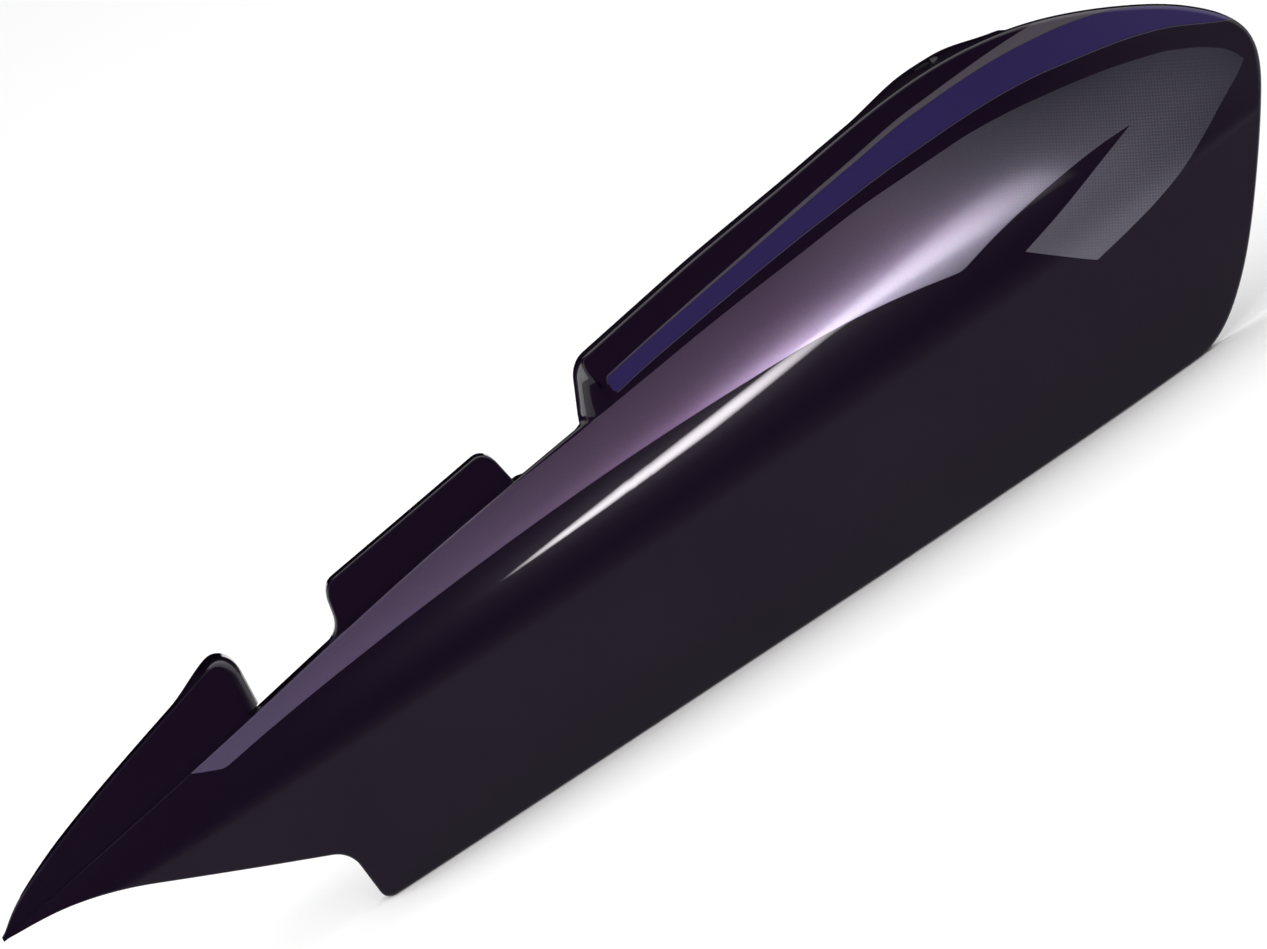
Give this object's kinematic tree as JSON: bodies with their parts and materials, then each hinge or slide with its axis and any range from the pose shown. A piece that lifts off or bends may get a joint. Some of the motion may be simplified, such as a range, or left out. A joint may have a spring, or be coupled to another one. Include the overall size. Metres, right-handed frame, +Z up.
{
  "type": "motorcycle tail panel",
  "caption": "Left tail side panel for a motorcycle: a thin glossy moulded shell with a pointed nose, a straight lower edge and a raised rear hump, with a bolt ear and a locating pin inside.",
  "frame": {"origin": "centre of the bolt hole in the ear on the upper edge, on the ear's upper side", "axes": "+X runs to the rear of the motorcycle, +Y to its middle, away from the printed face, +Z up along the bolt"},
  "size_m": [0.6811, 0.0876, 0.1691],
  "materials": {
    "painted_plastic": "gloss"
  },
  "bodies": {
    "root": {"tail_panel": "painted_plastic"}
  },
  "joints": []
}
